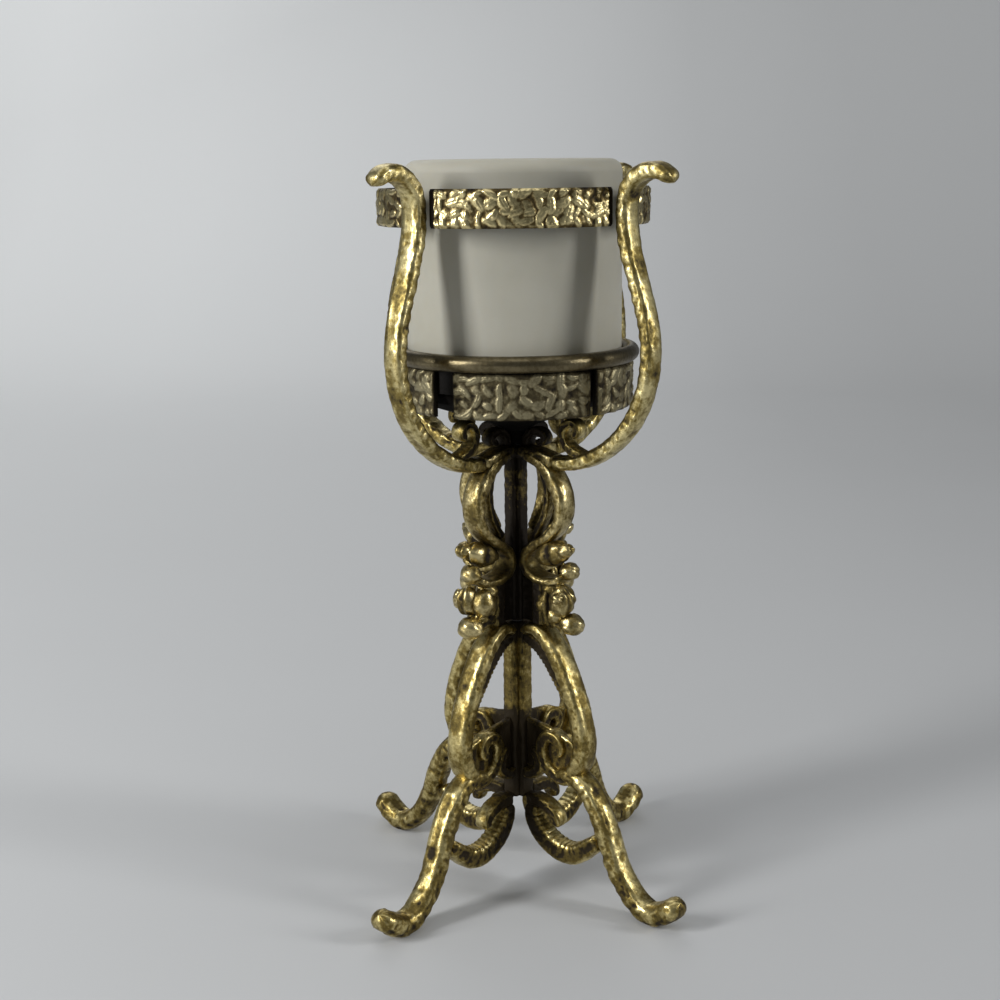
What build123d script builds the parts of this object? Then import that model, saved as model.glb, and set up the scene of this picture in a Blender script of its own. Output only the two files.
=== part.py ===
from build123d import *
import math
import os

os.makedirs("parts", exist_ok=True)

# A candlestick of four identical cast brackets around one axis, with a pan, two bands and a loose candle.
# Millimetres, +Z up, the origin at the middle of the footprint, on the surface that the toes stand on.
# Each bracket is drawn in the X-Z plane, X being the distance from the axis, and then turned about Z.

# The candle, which is the piece that sets the scale
candle_diameter = 76.2
candle_height = 76.2
candle_edge = 4.5            # rounding of the top edge
candle_foot = 0.8            # bevel round the base
well_diameter = 60.0         # the burnt-down well in the top
well_depth = 7.0
wick_diameter = 2.2
wick_stand = 6.0             # how far the wick stands up in the well
wick_clearance = 0.1

# Fits
joint_gap = 0.2              # the width of a soldered joint
pan_clearance = 0.5          # round the candle's base, inside the pan
band_clearance = 7.2         # round the candle, inside the upper band

# Heights, from the ground up
base_height = 101.8          # the lower castings
stem_height = 66.4           # the stem castings, standing on them
post_height = 22.3           # from the stems up to the pan
arm_drop = 5.0               # the arm's root, below the top of the stem
belly_rise = 40.8            # from the arm's root up to its widest place
neck_rise = 47.0             # from there up to the neck, where the upper band is
finial_rise = 13.0           # from the neck up to the crest of the finial
finial_reach = 18.7          # from the neck out to the finial's tip

# Radii of the brackets
foot_reach = 75.6            # the last point of the leg's line
leg_root = 20.0              # where the leg leaves the inner scrolls
bow_reach = 31.8             # the bow of the lower casting
lyre_reach = 23.4            # the strap of the stem casting
root_radius = 19.5           # the butt joint of stem and arm
belly_radius = 59.6          # the arm at its widest

# Widths across the bracket's plane
arm_width = 8.0
neck_width = 8.8             # the arm at the upper band
arm_scroll_width = 6.4
shoulder_width = 7.6
strap_width = 7.8
stem_spine_width = 4.8
stalk_width = 6.4
bow_width = 8.8
base_spine_width = 5.6
scroll_width = 6.6
inner_strap_width = 5.0
web_thickness = 2.4          # the plate behind the lower casting's scrolls
toe_width = 10.2             # the leg's rolled end
leg_width = 9.6
under_scroll_width = 7.6

# Depths of the bars in the bracket's plane
arm_depth = 5.6
stem_spine_depth = 3.9
base_spine_depth = 5.0
strap_depth = 3.9
bow_depth = 6.7
leg_depth = 7.8
edge_cut = 1.2               # the bevel along the edges of arms, bows and legs

# Bands, pan and post
plaque_thickness = 2.6
upper_plaque_height = 12.7
lower_plaque_height = 15.6
# The lower plaques, in degrees round the rim from +X: where each starts, and how far it runs
lower_plaque_starts = {"front": -79.1, "right": -7.8, "back": 85.7, "left": 179.2}
lower_plaque_arcs = {"front": 67.7, "right": 90.5, "back": 90.5, "left": 90.4}
pan_floor = 1.5
pan_wall = 1.0
pan_depth = 9.4              # from the floor up to the middle of the rolled rim
rim_thickness = 5.8
post_diameter = 8.4
bell_diameter = 56.0         # the bell that carries the pan
bell_height = 16.0
bell_lip = 2.0

# Buds of the bunch
large_bud = 11.4
low_bud = 8.2
tip_bud = 7.0
small_bud = 5.4

# Places that follow from the sizes above
base_top = base_height
stem_top = base_top + stem_height
pan_underside = stem_top + post_height
candle_base = pan_underside + pan_floor
root_height = stem_top - arm_drop
belly_height = root_height + belly_rise
neck_height = belly_height + neck_rise
pan_inner = candle_diameter / 2 + pan_clearance
pan_outer = pan_inner + pan_wall
lower_inner = pan_outer + joint_gap
upper_inner = candle_diameter / 2 + band_clearance
neck_radius = upper_inner + plaque_thickness / 2 + arm_depth / 2
places = {"right": 0, "back": 90, "left": 180, "front": 270}


def bar(centre, depths, width, edge=0.0):
    """A cast bar: lofted through sections square to its centre line, which lies in the bracket's plane."""
    last = len(centre) - 1
    widths = width if isinstance(width, list) else [width] * len(centre)
    with BuildPart() as solid:
        for i, (point, depth, wide) in enumerate(zip(centre, depths, widths)):
            before = Vector(*centre[max(i - 1, 0)])
            after = Vector(*centre[min(i + 1, last)])
            run = (after - before).normalized()
            section = Plane(origin=(point[0], 0, point[1]), x_dir=(0, 1, 0), z_dir=(run.X, 0, run.Y))
            with BuildSketch(section) as cut:
                Rectangle(wide, depth)
                if edge > 0:
                    chamfer(cut.vertices(), length=min(edge, depth * 0.34))
        loft()
    return solid.part


def spine(depth, width, low, high):
    """The straight bar of a casting that stands at the axis."""
    with BuildPart() as solid:
        with BuildSketch(Plane.XY.offset(low)):
            with Locations((depth / 2, 0)):
                Rectangle(depth, width)
        extrude(amount=high - low)
    return solid.part


def bud(size, at):
    """A cast bud: an eight-sided bead whose rims are cut back."""
    with BuildPart() as bead:
        with BuildSketch(Plane(origin=at)):
            RegularPolygon(size / 2, 8)
        extrude(amount=size * 0.44, both=True)
        chamfer(bead.faces().filter_by(Axis.Z).edges(), length=size * 0.22)
    return bead.part


def mitre(top):
    """The quarter that a casting may fill: a right-angled wedge about its plane, short of its neighbours."""
    nose = joint_gap / math.sqrt(2)
    reach = foot_reach * 1.5
    with BuildPart() as quarter:
        with BuildSketch():
            with BuildLine():
                Polyline((nose, 0), (reach, reach - nose), (reach, nose - reach), close=True)
            make_face()
        extrude(amount=top)
    return quarter.part


def stem_point(u, v):
    """A point of the stem casting, as shares of the strap's reach and of the stem's height."""
    return (lyre_reach * u, base_top + stem_height * v)


def bow_point(u, v):
    """A point of the lower casting's bow and scrolls, as shares of the bow's reach and of the casting's height."""
    return (bow_reach * u, base_height * v)


def leg_point(u, v):
    """A point of the leg, as shares of its reach beyond the bow and of the casting's height."""
    return (leg_root + (foot_reach - leg_root) * u, base_height * v)


def arm_centre():
    """The arm's line: a quarter of an ellipse to the widest place, a gentle S to the neck, then the finial."""
    sweep = [
        (
            root_radius + (belly_radius - root_radius) * math.sin(math.radians(a)),
            belly_height - belly_rise * math.cos(math.radians(a)),
        )
        for a in range(0, 91, 15)
    ]
    rise = [
        (
            neck_radius + (belly_radius - neck_radius) * (1 + math.cos(math.pi * v)) / 2,
            belly_height + neck_rise * v,
        )
        for v in (0.2, 0.4, 0.6, 0.8, 1.0)
    ]
    finial = [
        (neck_radius + finial_reach * u, neck_height + finial_rise * v)
        for u, v in ((0.04, 0.42), (0.2, 0.77), (0.44, 0.98), (0.68, 1.0), (0.88, 0.88), (1.0, 0.7))
    ]
    return sweep + rise + finial


def turned(piece, name, place, turn):
    """One of the four copies of a bracket's piece, turned to its place and written out."""
    with BuildPart() as copy:
        add(piece, rotation=(0, 0, turn))
    copy.part.label = f"{name}_{place}"
    export_step(copy.part, f"parts/{name}_{place}.step")


# Arm casting: swept arm with its finial, and the small scroll beside its root
arm_line = arm_centre()
arm_depths = [arm_depth * s for s in [0.93] + [1.0] * 11 + [1.0, 1.07, 1.07, 1.02, 0.9, 0.66]]
arm_widths = [arm_width] * 9 + [(arm_width + neck_width) / 2] + [neck_width] * 6 + [arm_width, arm_width * 0.8]
arm_bar = bar(arm_line, arm_depths, arm_widths, edge=edge_cut)
arm_scroll_line = [
    (root_radius + dr, root_height + dz)
    for dr, dz in (
        (13.5, 3.4), (9.0, 4.6), (5.1, 7.1), (3.7, 10.6), (5.1, 13.8),
        (7.9, 14.9), (10.1, 13.2), (9.5, 10.8), (7.7, 10.6),
    )
]
arm_scroll_depths = [3.0, 3.6, 3.8, 3.8, 3.6, 3.4, 3.2, 3.0, 2.6]
arm_scroll = bar(arm_scroll_line, arm_scroll_depths, arm_scroll_width)
with BuildPart() as arm:
    add([arm_bar, arm_scroll])
    split(bisect_by=Plane.YZ.offset(root_radius), keep=Keep.TOP)

# Stem casting: shoulder, lyre strap with its lip, spine, stalk and the bunch of a leaf and buds
shoulder_line = [(r, root_height + rise) for r, rise in ((1.0, 2.3), (8.0, 2.3), (14.0, 1.3), (root_radius, 0.0))]
shoulder = bar(shoulder_line, [5.0, 5.2, 5.3, 5.3], shoulder_width)
strap_line = [
    stem_point(u, v)
    for u, v in (
        (0.256, 0.949), (0.556, 0.914), (0.752, 0.855), (0.893, 0.785), (0.970, 0.702), (0.940, 0.613),
        (0.791, 0.535), (0.547, 0.474), (0.345, 0.425), (0.248, 0.367), (0.291, 0.310), (0.449, 0.274),
        (0.662, 0.262), (0.855, 0.273), (1.035, 0.308),
    )
]
strap_depths = [strap_depth * s for s in [1.0, 1.28, 1.64, 1.64, 1.38, 1.13] + [1.0] * 6 + [0.95, 0.9, 0.9]]
strap = bar(strap_line, strap_depths, strap_width)
inner_strap_line = [
    stem_point(u, v)
    for u, v in ((0.556, 0.892), (0.65, 0.802), (0.667, 0.711), (0.607, 0.62), (0.491, 0.545), (0.385, 0.485))
]
inner_strap = bar(inner_strap_line, [2.6] * 6, inner_strap_width)
stem_spine = spine(stem_spine_depth, stem_spine_width, base_top + joint_gap, stem_top)
stalk_radius = lyre_reach * 0.5
stalk_line = [(stalk_radius, base_top + stem_height * v) for v in (0.27, 0.16, 0.08)]
stalk_line.append((stalk_radius, base_top + joint_gap))
stalk = bar(list(reversed(stalk_line)), [5.6, 5.2, 5.0, 4.6], stalk_width)
branch_line = [stem_point(0.5, 0.05), stem_point(0.72, 0.045), stem_point(1.0, 0.03)]
branch = bar(branch_line, [4.2, 4.0, 4.0], stalk_width - 1.6)
bud_places = [
    (large_bud, stem_point(0.906, 0.161), 1.3),
    (low_bud, stem_point(1.107, 0.035), 0.3),
    (tip_bud, stem_point(1.06, 0.335), 0.0),
    (small_bud, stem_point(0.94, 0.199), -large_bud * 0.55),
]
buds = [bud(size, (at[0], side, at[1])) for size, at, side in bud_places]
leaf_root = stem_point(0.47, 0.4)
leaf_tip = stem_point(1.15, 0.474)
leaf_span = (Vector(*leaf_tip) - Vector(*leaf_root)).length
leaf_plane = Plane(origin=(leaf_root[0], 0, leaf_root[1]), x_dir=(0.95, -0.17, 0.21), z_dir=(-0.16, -0.05, 0.98))
with BuildPart() as leaf:
    with BuildSketch(leaf_plane):
        with BuildLine():
            ThreePointArc((0, 0), (leaf_span * 0.55, leaf_span * 0.28), (leaf_span, 0))
            ThreePointArc((0, 0), (leaf_span * 0.55, -leaf_span * 0.28), (leaf_span, 0))
        make_face()
    extrude(amount=large_bud * 0.24, both=True)
    chamfer(leaf.faces().sort_by(Axis.Z)[-1].edges(), length=edge_cut)
with BuildPart() as stem:
    add([shoulder, strap, inner_strap, stem_spine, stalk, branch, leaf.part] + buds)
    with BuildSketch(Plane.XZ):
        with Locations((root_radius - joint_gap, root_height - arm_depth * 0.5 - joint_gap)):
            Rectangle(belly_radius, stem_top, align=(Align.MIN, Align.MIN))
    extrude(amount=arm_width, both=True, mode=Mode.SUBTRACT)
    add(mitre(stem_top), mode=Mode.INTERSECT)

# Lower casting: spine, bow with its rib, two inner scrolls on a web, leg with its toe, and the C-scroll and hook below
base_spine = spine(base_spine_depth, base_spine_width, base_height * 0.46, base_height)
bow_line = [
    bow_point(u, v)
    for u, v in (
        (0.16, 0.958), (0.226, 0.982), (0.339, 0.985), (0.468, 0.963), (0.597, 0.918), (0.726, 0.855),
        (0.839, 0.781), (0.935, 0.702), (0.994, 0.624), (1.0, 0.56), (0.935, 0.506), (0.839, 0.467),
    )
]
bow_depths = [bow_depth * s for s in (0.52, 0.61, 0.77, 0.9, 0.97, 1.0, 1.0, 1.0, 1.03, 1.06, 1.03, 0.84)]
bow = bar(bow_line, bow_depths, bow_width, edge=edge_cut * 0.6)
rib_line = [
    bow_point(u, v)
    for u, v in (
        (0.142, 0.953), (0.299, 0.938), (0.447, 0.905), (0.582, 0.857), (0.692, 0.808), (0.786, 0.766), (0.865, 0.707),
    )
]
rib_depths = [bow_depth * s for s in (0.6, 0.75, 0.75, 0.75, 0.72, 0.66, 0.45)]
rib = bar(rib_line, rib_depths, bow_width - edge_cut, edge=edge_cut * 0.5)
volute_line = [
    bow_point(u, v)
    for u, v in (
        (0.92, 0.467), (0.755, 0.442), (0.57, 0.452), (0.437, 0.491), (0.409, 0.543), (0.497, 0.587),
        (0.629, 0.585), (0.679, 0.546), (0.575, 0.523),
    )
]
volute = bar(volute_line, [4.6, 5.0, 5.2, 5.2, 5.2, 5.0, 4.8, 4.4, 3.6], scroll_width)
hub_scroll_line = [
    bow_point(u, v)
    for u, v in ((0.1, 0.428), (0.252, 0.426), (0.362, 0.457), (0.352, 0.501), (0.239, 0.524))
]
hub_scroll = bar(hub_scroll_line, [4.2, 4.4, 4.2, 4.0, 3.2], scroll_width)
with BuildPart() as web:
    with BuildSketch(Plane.XZ):
        with BuildLine():
            Polyline(bow_point(0.08, 0.64), bow_point(0.08, 0.43), bow_point(0.85, 0.45))
            ThreePointArc(bow_point(0.85, 0.45), bow_point(0.9, 0.58), bow_point(0.6, 0.62))
            Line(bow_point(0.6, 0.62), bow_point(0.08, 0.64))
        make_face()
    extrude(amount=web_thickness / 2, both=True)
leg_line = [
    leg_point(u, v)
    for u, v in (
        (0.0, 0.447), (0.09, 0.466), (0.189, 0.452), (0.279, 0.408), (0.351, 0.349), (0.405, 0.285),
        (0.45, 0.221), (0.504, 0.157), (0.576, 0.103), (0.665, 0.058), (0.764, 0.038), (0.863, 0.055),
        (0.942, 0.088), (0.99, 0.115),
    )
]
leg_shares = (0.5, 0.72, 0.9, 0.99, 1.01, 1.01, 0.99, 0.96, 0.96, 0.99, 1.04, 1.06, 1.0, 0.62)
leg_depths = [leg_depth * share for share in leg_shares]
leg_widths = [leg_width] * 11 + [toe_width, toe_width, toe_width * 0.6]
leg = bar(leg_line, leg_depths, leg_widths, edge=edge_cut)
under_line = [
    bow_point(u, v)
    for u, v in (
        (0.267, 0.309), (0.27, 0.26), (0.352, 0.214), (0.503, 0.177), (0.686, 0.157), (0.881, 0.162), (1.053, 0.195),
    )
]
under_line.append(leg_point(0.351, 0.245))
under_depths = [leg_depth * s for s in (0.77, 0.9, 1.0, 1.05, 1.05, 1.0, 0.9, 0.77)]
under_scroll = bar(under_line, under_depths, under_scroll_width)
hook_line = [
    bow_point(u, v) for u, v in ((0.157, 0.319), (0.346, 0.324), (0.513, 0.309), (0.623, 0.275), (0.613, 0.244))
]
hook = bar(hook_line, [5.0, 5.0, 4.8, 4.4, 3.4], scroll_width)
with BuildPart() as base:
    add([base_spine, bow, rib, volute, hub_scroll, web.part, leg, under_scroll, hook])
    add(mitre(base_top), mode=Mode.INTERSECT)

for place, turn in places.items():
    turned(base.part, "base", place, turn)
    turned(stem.part, "stem", place, turn)
    turned(arm.part, "arm", place, turn)

# Upper band: four curved plaques between the arms
upper_low = neck_height + 1.4 - upper_plaque_height / 2
for place, turn in places.items():
    with BuildPart() as upper_plaque:
        with BuildSketch(Plane.XZ):
            with Locations((upper_inner, upper_low)):
                Rectangle(plaque_thickness, upper_plaque_height, align=(Align.MIN, Align.MIN))
        revolve(axis=Axis.Z, revolution_arc=90)
        chamfer(upper_plaque.edges().filter_by(GeomType.CIRCLE).sort_by(SortBy.RADIUS)[-2:], length=0.5)
        with BuildSketch(Plane.XY.offset(upper_low)):
            Rectangle(4 * upper_inner, neck_width + 2 * joint_gap)
            Rectangle(neck_width + 2 * joint_gap, 4 * upper_inner)
        extrude(amount=upper_plaque_height, mode=Mode.SUBTRACT)
    turned(upper_plaque.part, "upper_plaque", place, turn)

# Lower band: four curved plaques hung under the pan's rim, with the gaps that hand work left
lower_high = candle_base + pan_depth - rim_thickness / 2 - joint_gap
for place, start in lower_plaque_starts.items():
    with BuildPart() as lower_plaque:
        with BuildSketch(Plane.XZ):
            with Locations((lower_inner, lower_high - lower_plaque_height)):
                Rectangle(plaque_thickness, lower_plaque_height, align=(Align.MIN, Align.MIN))
        revolve(axis=Axis.Z, revolution_arc=lower_plaque_arcs[place])
        chamfer(lower_plaque.edges().filter_by(GeomType.CIRCLE).sort_by(SortBy.RADIUS)[-2:], length=0.5)
    turned(lower_plaque.part, "lower_plaque", place, start)

# Drip pan: flat floor, short wall and a rolled rim over the lower band
with BuildPart() as drip_pan:
    with BuildSketch(Plane.XZ):
        with Locations((0, pan_underside)):
            Rectangle(pan_outer, pan_floor, align=(Align.MIN, Align.MIN))
        with Locations((pan_inner, pan_underside)):
            Rectangle(pan_wall, pan_floor + pan_depth, align=(Align.MIN, Align.MIN))
        with Locations((pan_inner + rim_thickness / 2, candle_base + pan_depth)):
            Circle(rim_thickness / 2)
    revolve(axis=Axis.Z)
drip_pan.part.label = "drip_pan"
export_step(drip_pan.part, "parts/drip_pan.step")

# Post: stands on the four stems and opens into a bell that carries the pan
bell_top = pan_underside - joint_gap
with BuildPart() as pan_post:
    with BuildSketch(Plane.XZ):
        with BuildLine():
            Polyline((0, bell_top), (0, stem_top + joint_gap), (post_diameter / 2, stem_top + joint_gap))
            Line((post_diameter / 2, stem_top + joint_gap), (post_diameter / 2, bell_top - bell_height))
            ThreePointArc(
                (post_diameter / 2, bell_top - bell_height),
                (bell_diameter * 0.32, bell_top - bell_height * 0.58),
                (bell_diameter / 2, bell_top - bell_lip),
            )
            Polyline((bell_diameter / 2, bell_top - bell_lip), (bell_diameter / 2, bell_top), (0, bell_top))
        make_face()
    revolve(axis=Axis.Z)
pan_post.part.label = "pan_post"
export_step(pan_post.part, "parts/pan_post.step")

# Candle: stands loose on the pan's floor, with a burnt well in the top and a hole for its wick
candle_top = candle_base + candle_height
with BuildPart() as candle:
    with BuildSketch(Plane.XY.offset(candle_base)):
        Circle(candle_diameter / 2)
    extrude(amount=candle_height)
    fillet(candle.edges().group_by(Axis.Z)[-1], radius=candle_edge)
    chamfer(candle.edges().group_by(Axis.Z)[0], length=candle_foot)
    with BuildSketch(Plane.XY.offset(candle_top)):
        Circle(well_diameter / 2)
    extrude(amount=-well_depth, taper=20, mode=Mode.SUBTRACT)
    with BuildSketch(Plane.XY.offset(candle_base)):
        Circle(wick_diameter / 2 + wick_clearance)
    extrude(amount=candle_height, mode=Mode.SUBTRACT)
candle.part.label = "candle"
export_step(candle.part, "parts/candle.step")

# Wick: runs up through the candle and stands in the well, below the rim
with BuildPart() as wick:
    with BuildSketch(Plane.XY.offset(candle_base + candle_foot)):
        Circle(wick_diameter / 2)
    extrude(amount=candle_height - candle_foot - well_depth + wick_stand)
    fillet(wick.edges().group_by(Axis.Z)[-1], radius=wick_diameter / 4)
wick.part.label = "wick"
export_step(wick.part, "parts/wick.step")
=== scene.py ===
import math

import bpy
import numpy as np
from mathutils import Matrix, Vector


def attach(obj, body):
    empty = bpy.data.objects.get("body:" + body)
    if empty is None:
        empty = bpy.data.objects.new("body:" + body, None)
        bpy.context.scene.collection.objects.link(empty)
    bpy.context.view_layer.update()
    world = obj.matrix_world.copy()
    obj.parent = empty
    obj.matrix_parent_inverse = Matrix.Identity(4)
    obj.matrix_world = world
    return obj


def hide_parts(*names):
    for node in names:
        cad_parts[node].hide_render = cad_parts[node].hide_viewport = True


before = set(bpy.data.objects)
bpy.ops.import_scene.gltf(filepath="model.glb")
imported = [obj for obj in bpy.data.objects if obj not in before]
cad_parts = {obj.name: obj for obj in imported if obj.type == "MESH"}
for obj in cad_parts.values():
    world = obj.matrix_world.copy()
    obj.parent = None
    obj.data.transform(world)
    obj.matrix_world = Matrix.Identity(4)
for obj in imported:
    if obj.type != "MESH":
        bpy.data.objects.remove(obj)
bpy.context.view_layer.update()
scene = bpy.context.scene

MM = 0.001
PLACES = {"right": 0, "back": 90, "left": 180, "front": 270}
VIEW_TURN = math.radians(40.91)      # the camera stands this far round from the front bracket

# Heights and reaches in mm, from the ground and from the axis
BASE_TOP, STEM_HEIGHT, STEM_TOP = 101.8, 66.4, 168.2
LYRE_REACH, BOW_REACH, LEG_ROOT, FOOT_REACH = 23.4, 31.8, 20.0, 75.6
ROOT_RADIUS, ROOT_HEIGHT = 19.5, 163.2
BELLY_RADIUS, BELLY_RISE, NECK_RADIUS, NECK_RISE = 59.6, 40.8, 49.4, 47.0
NECK_HEIGHT = ROOT_HEIGHT + BELLY_RISE + NECK_RISE
PLAQUE_THICK, UPPER_INNER, LOWER_INNER = 2.6, 45.3, 39.8
UPPER_PLAQUE = (246.05, 12.7)        # lower edge and height
LOWER_PLAQUE = (182.7, 15.6)
# Each lower plaque's start and arc, in degrees round the rim from +X
LOWER_SPANS = {"front": (-79.1, 67.7), "right": (-7.8, 90.5), "back": (85.7, 90.5), "left": (179.2, 90.4)}
UPPER_GAP = 4.6                      # from the middle of an arm to the end of the upper plaque beside it
UPPER_BLANK = 1.6                    # plain margin at each end of an upper plaque
LEAF_DEPTH = 0.9                     # how far the leafy relief of both bands stands out, per unit of relief
PLAQUE_STEP = 0.25                   # between neighbouring points of a plaque's face
BACK_POINTS = 12                     # up a plaque's plain inner face
FACE_INSET = 0.3                     # the ground of the relief lies this far inside a plaque's outer radius
PAN_RIM_LOW = 0.1985                 # in metres: the pan is black below this height, painted shade on its underside
BLACK_EDGE = 0.0006                  # in metres: half the height over which that painted shade sets in
RECESS_ROUGHER = 0.26                # how much rougher the darkest parts, recesses, patina and painted shade, are than the gilding


# Camera


def add_camera():
    """Camera on the side between the front and the right bracket, turned 40.91 degrees from the front one."""
    turn = Matrix.Rotation(VIEW_TURN, 3, "Z")
    pitch, yaw, roll = math.radians(12.25), math.radians(-0.62), math.radians(-0.648)
    distance, height = 0.53892, 0.2639
    level = Vector((math.sin(yaw), math.cos(yaw), 0))
    right = Vector((math.cos(yaw), -math.sin(yaw), 0))
    ahead = level * math.cos(pitch) - Vector((0, 0, math.sin(pitch)))
    up = level * math.sin(pitch) + Vector((0, 0, math.cos(pitch)))
    side = right * math.cos(roll) + up * math.sin(roll)
    top = up * math.cos(roll) - right * math.sin(roll)
    axes = Matrix((turn @ side, turn @ top, turn @ -ahead)).transposed()
    data = bpy.data.cameras.new("camera")
    data.sensor_width = 36.0
    data.lens = 54.384
    data.clip_start = 0.01
    data.clip_end = 50
    camera = bpy.data.objects.new("camera", data)
    camera.matrix_world = Matrix.Translation(turn @ Vector((0, -distance, height))) @ axes.to_4x4()
    scene.collection.objects.link(camera)
    scene.camera = camera


# Surfaces


def hashed(i, j, seed):
    """A repeatable number from 0 to 1 for each whole pair (i, j): the fraction of a large sine."""
    return np.modf(np.abs(np.sin(i * 127.1 + j * 311.7 + seed * 74.7) * 43758.5453))[0]


def noise(x, y, seed, around=0):
    """Smooth value noise of x and y, one lattice step per unit; y repeats after `around` steps if that is given."""
    xi, yi = np.floor(x), np.floor(y)
    u, v = x - xi, y - yi
    u, v = u * u * (3 - 2 * u), v * v * (3 - 2 * v)
    wrap = (lambda k: np.mod(k, around)) if around else (lambda k: k)
    a, b = hashed(xi, wrap(yi), seed), hashed(xi + 1, wrap(yi), seed)
    c, d = hashed(xi, wrap(yi + 1), seed), hashed(xi + 1, wrap(yi + 1), seed)
    return (a * (1 - u) + b * u) * (1 - v) + (c * (1 - u) + d * u) * v


def smooth(x, low, high):
    """Zero below low, one above high, and a smooth cubic between."""
    t = np.clip((x - low) / (high - low), 0, 1)
    return t * t * (3 - 2 * t)


def spline(points, step):
    """Natural cubic spline through the points by chord length: places at even steps, directions, lengths, knots."""
    p = np.asarray(points, float)
    knots = np.r_[0, np.cumsum(np.linalg.norm(np.diff(p, axis=0), axis=1))]
    h = np.diff(knots)
    n = len(p)
    m = np.eye(n)
    rhs = np.zeros_like(p)
    inner = np.arange(1, n - 1)
    m[inner, inner - 1] = h[:-1]
    m[inner, inner] = 2 * (h[:-1] + h[1:])
    m[inner, inner + 1] = h[1:]
    slopes = np.diff(p, axis=0) / h[:, None]
    rhs[1:-1] = 6 * np.diff(slopes, axis=0)
    bend = np.linalg.solve(m, rhs)
    s = np.linspace(0, knots[-1], int(knots[-1] / step) + 2)
    i = np.clip(np.searchsorted(knots, s, "right") - 1, 0, n - 2)
    hi = h[i][:, None]
    a, b = (knots[i + 1] - s)[:, None] / hi, (s - knots[i])[:, None] / hi
    place = a * p[i] + b * p[i + 1] + ((a**3 - a) * bend[i] + (b**3 - b) * bend[i + 1]) * hi**2 / 6
    run = (p[i + 1] - p[i]) / hi + ((3 * b**2 - 1) * bend[i + 1] - (3 * a**2 - 1) * bend[i]) * hi / 6
    run /= np.linalg.norm(run, axis=1, keepdims=True)
    return place, run, s, knots


def grid_faces(rows, cols):
    """Quads of a tube of rows x cols points, closed across the columns, whose first and last rows are poles."""
    i, j = np.meshgrid(np.arange(rows - 1), np.arange(cols), indexing="ij")
    k = (j + 1) % cols
    return np.stack([i * cols + j, i * cols + k, (i + 1) * cols + k, (i + 1) * cols + j], -1).reshape(-1, 4)


class Shape:
    """Points, quads and per-point values of one piece, in millimetres, gathered from its surfaces."""

    def __init__(self):
        self.points, self.faces, self.relief, self.soot, self.count = [], [], [], [], 0

    def add(self, points, relief, soot):
        """Adds one closed tube: an array rows x cols x 3, with its relief and its patina and painted shade of rows x
        cols.
        """
        rows, cols = points.shape[:2]
        points = points.copy()
        points[0] = points[0].mean(0)
        points[-1] = points[-1].mean(0)
        self.points.append(points.reshape(-1, 3))
        self.faces.append(grid_faces(rows, cols) + self.count)
        self.relief.append(np.broadcast_to(relief, (rows, cols)).reshape(-1))
        self.soot.append(np.broadcast_to(soot, (rows, cols)).reshape(-1))
        self.count += rows * cols

    def piece(self, name, turn, material, low=None):
        """The mesh object, turned about Z by `turn` degrees, with no point below the height `low` if that is given."""
        xyz = np.concatenate(self.points)
        if low is not None:
            xyz[:, 2] = np.maximum(xyz[:, 2], low)
        a = math.radians(turn)
        xyz = np.stack([xyz[:, 0] * math.cos(a) - xyz[:, 1] * math.sin(a),
                        xyz[:, 0] * math.sin(a) + xyz[:, 1] * math.cos(a), xyz[:, 2]], 1) * MM
        faces = np.concatenate(self.faces)
        mesh = bpy.data.meshes.new(name)
        mesh.vertices.add(len(xyz))
        mesh.vertices.foreach_set("co", xyz.astype(np.float32).ravel())
        mesh.loops.add(faces.size)
        mesh.loops.foreach_set("vertex_index", faces.astype(np.int32).ravel())
        mesh.polygons.add(len(faces))
        mesh.polygons.foreach_set("loop_start", np.arange(0, faces.size, 4, dtype=np.int32))
        mesh.update(calc_edges=True)
        for label, values in (("relief", self.relief), ("soot", self.soot)):
            layer = mesh.attributes.new(label, "FLOAT", "POINT")
            layer.data.foreach_set("value", np.concatenate(values).astype(np.float32))
        mesh.polygons.foreach_set("use_smooth", np.ones(len(faces), bool))
        mesh.materials.append(material)
        mesh.validate()
        obj = bpy.data.objects.new(name, mesh)
        scene.collection.objects.link(obj)
        return obj


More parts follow.
